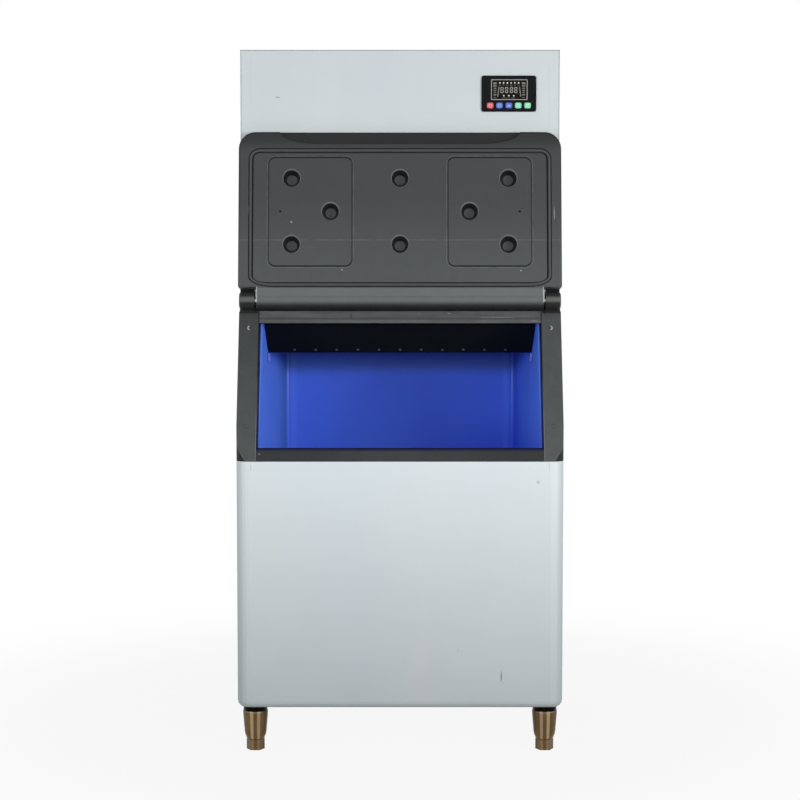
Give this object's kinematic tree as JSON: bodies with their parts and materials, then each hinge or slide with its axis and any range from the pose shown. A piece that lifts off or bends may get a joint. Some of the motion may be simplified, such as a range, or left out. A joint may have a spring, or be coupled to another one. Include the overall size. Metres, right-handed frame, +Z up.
{
  "type": "flake ice machine",
  "caption": "Upright flake ice machine: a steel ice bin on legs with a lift-up door and blue liner, under a boxed machine head with a control panel.",
  "frame": {"origin": "on the floor, under the middle of the machine", "axes": "+Z up, +X to the right seen from the front, -Y towards the user"},
  "size_m": [0.762, 0.83, 1.65],
  "materials": {
    "steel": "pale satin steel",
    "bare_steel": "plain steel",
    "black_plastic": "satin black",
    "blue_plastic": "satin blue",
    "foam": "matte foam",
    "rubber": "matte",
    "leg_metal": "satin",
    "copper": "bare copper",
    "coil_aluminium": "bare",
    "compressor_paint": "satin black",
    "white_plastic": "satin",
    "display_glass": "gloss",
    "board": "satin",
    "red": "satin",
    "blue_key": "satin",
    "green_key": "satin"
  },
  "bodies": {
    "cabinet": {"baffle_bracket_left": "bare_steel", "baffle_bracket_right": "bare_steel", "bin_back_panel": "steel", "bin_base_pan": "bare_steel", "bin_top_deck": "bare_steel", "bin_wrap": "steel", "cable_gland": "black_plastic", "compressor": "compressor_paint", "condenser_coil": "coil_aluminium", "control_board": "board", "control_fascia": "black_plastic", "discharge_tube": "copper", "display_window": "display_glass", "drain_fitting": "white_plastic", "evaporator_drum": "bare_steel", "fan_motor": "bare_steel", "fan_shroud": "bare_steel", "filter_drier": "copper", "foam_insulation": "foam", "frame_header": "black_plastic", "frame_post_left": "black_plastic", "frame_post_right": "black_plastic", "frame_sill": "black_plastic", "gear_motor": "bare_steel", "head_back_panel": "steel", "head_base": "bare_steel", "head_front_panel": "steel", "head_left_panel": "steel", "head_right_panel": "steel", "head_top_cover": "steel", "hinge_pin_left": "bare_steel", "hinge_pin_right": "bare_steel", "ice_baffle": "black_plastic", "ice_chute": "white_plastic", "ice_liner": "blue_plastic", "leg_front_left": "leg_metal", "leg_front_right": "leg_metal", "leg_rear_left": "leg_metal", "leg_rear_right": "leg_metal", "liquid_tube": "copper", "power_switch": "black_plastic", "water_inlet": "bare_steel", "water_tank": "white_plastic"},
    "door": {"door": "black_plastic", "door_gasket": "rubber", "door_bumper_left": "rubber", "door_bumper_right": "rubber"},
    "auger": {"auger": "bare_steel"},
    "fan": {"fan_blade": "black_plastic"},
    "float": {"float_arm": "white_plastic"},
    "rocker": {"switch_rocker": "red"},
    "button_1": {"button_1": "red"},
    "button_2": {"button_2": "blue_key"},
    "button_3": {"button_3": "blue_key"},
    "button_4": {"button_4": "green_key"},
    "button_5": {"button_5": "green_key"},
    "foot_front_left": {"foot_front_left": "leg_metal"},
    "foot_front_right": {"foot_front_right": "leg_metal"},
    "foot_rear_left": {"foot_rear_left": "leg_metal"},
    "foot_rear_right": {"foot_rear_right": "leg_metal"}
  },
  "joints": [
    {"name": "door_hinge", "type": "hinge", "parent": "cabinet", "child": "door", "pos_m": [0, -0.29839, 1.056], "axis": [1, 0, 0], "range_deg": [0, 167.81]},
    {"name": "auger_spin", "type": "hinge", "parent": "cabinet", "child": "auger", "pos_m": [-0.19, 0.085, 1.1849], "axis": [0, 0, 1], "continuous": true},
    {"name": "fan_spin", "type": "hinge", "parent": "cabinet", "child": "fan", "pos_m": [0.15, 0.3547, 1.23], "axis": [0, 1, 0], "continuous": true},
    {"name": "float_lever", "type": "hinge", "parent": "cabinet", "child": "float", "pos_m": [-0.3, -0.05, 1.1446], "axis": [1, 0, 0], "range_deg": [-45, 0]},
    {"name": "power_rocker", "type": "hinge", "parent": "cabinet", "child": "rocker", "pos_m": [-0.2, 0.404, 1.1], "axis": [1, 0, 0], "range_deg": [-16, 0]},
    {"name": "button_1_press", "type": "slide", "parent": "cabinet", "child": "button_1", "axis": [0, 1, 0], "range_m": [0, 0.001], "stiffness_N_per_m": 1200},
    {"name": "button_2_press", "type": "slide", "parent": "cabinet", "child": "button_2", "axis": [0, 1, 0], "range_m": [0, 0.001], "stiffness_N_per_m": 1200},
    {"name": "button_3_press", "type": "slide", "parent": "cabinet", "child": "button_3", "axis": [0, 1, 0], "range_m": [0, 0.001], "stiffness_N_per_m": 1200},
    {"name": "button_4_press", "type": "slide", "parent": "cabinet", "child": "button_4", "axis": [0, 1, 0], "range_m": [0, 0.001], "stiffness_N_per_m": 1200},
    {"name": "button_5_press", "type": "slide", "parent": "cabinet", "child": "button_5", "axis": [0, 1, 0], "range_m": [0, 0.001], "stiffness_N_per_m": 1200},
    {"name": "foot_front_left_screw", "type": "slide", "parent": "cabinet", "child": "foot_front_left", "axis": [0, 0, -1], "range_m": [0, 0.025]},
    {"name": "foot_front_right_screw", "type": "slide", "parent": "cabinet", "child": "foot_front_right", "axis": [0, 0, -1], "range_m": [0, 0.025]},
    {"name": "foot_rear_left_screw", "type": "slide", "parent": "cabinet", "child": "foot_rear_left", "axis": [0, 0, -1], "range_m": [0, 0.025]},
    {"name": "foot_rear_right_screw", "type": "slide", "parent": "cabinet", "child": "foot_rear_right", "axis": [0, 0, -1], "range_m": [0, 0.025]}
  ]
}
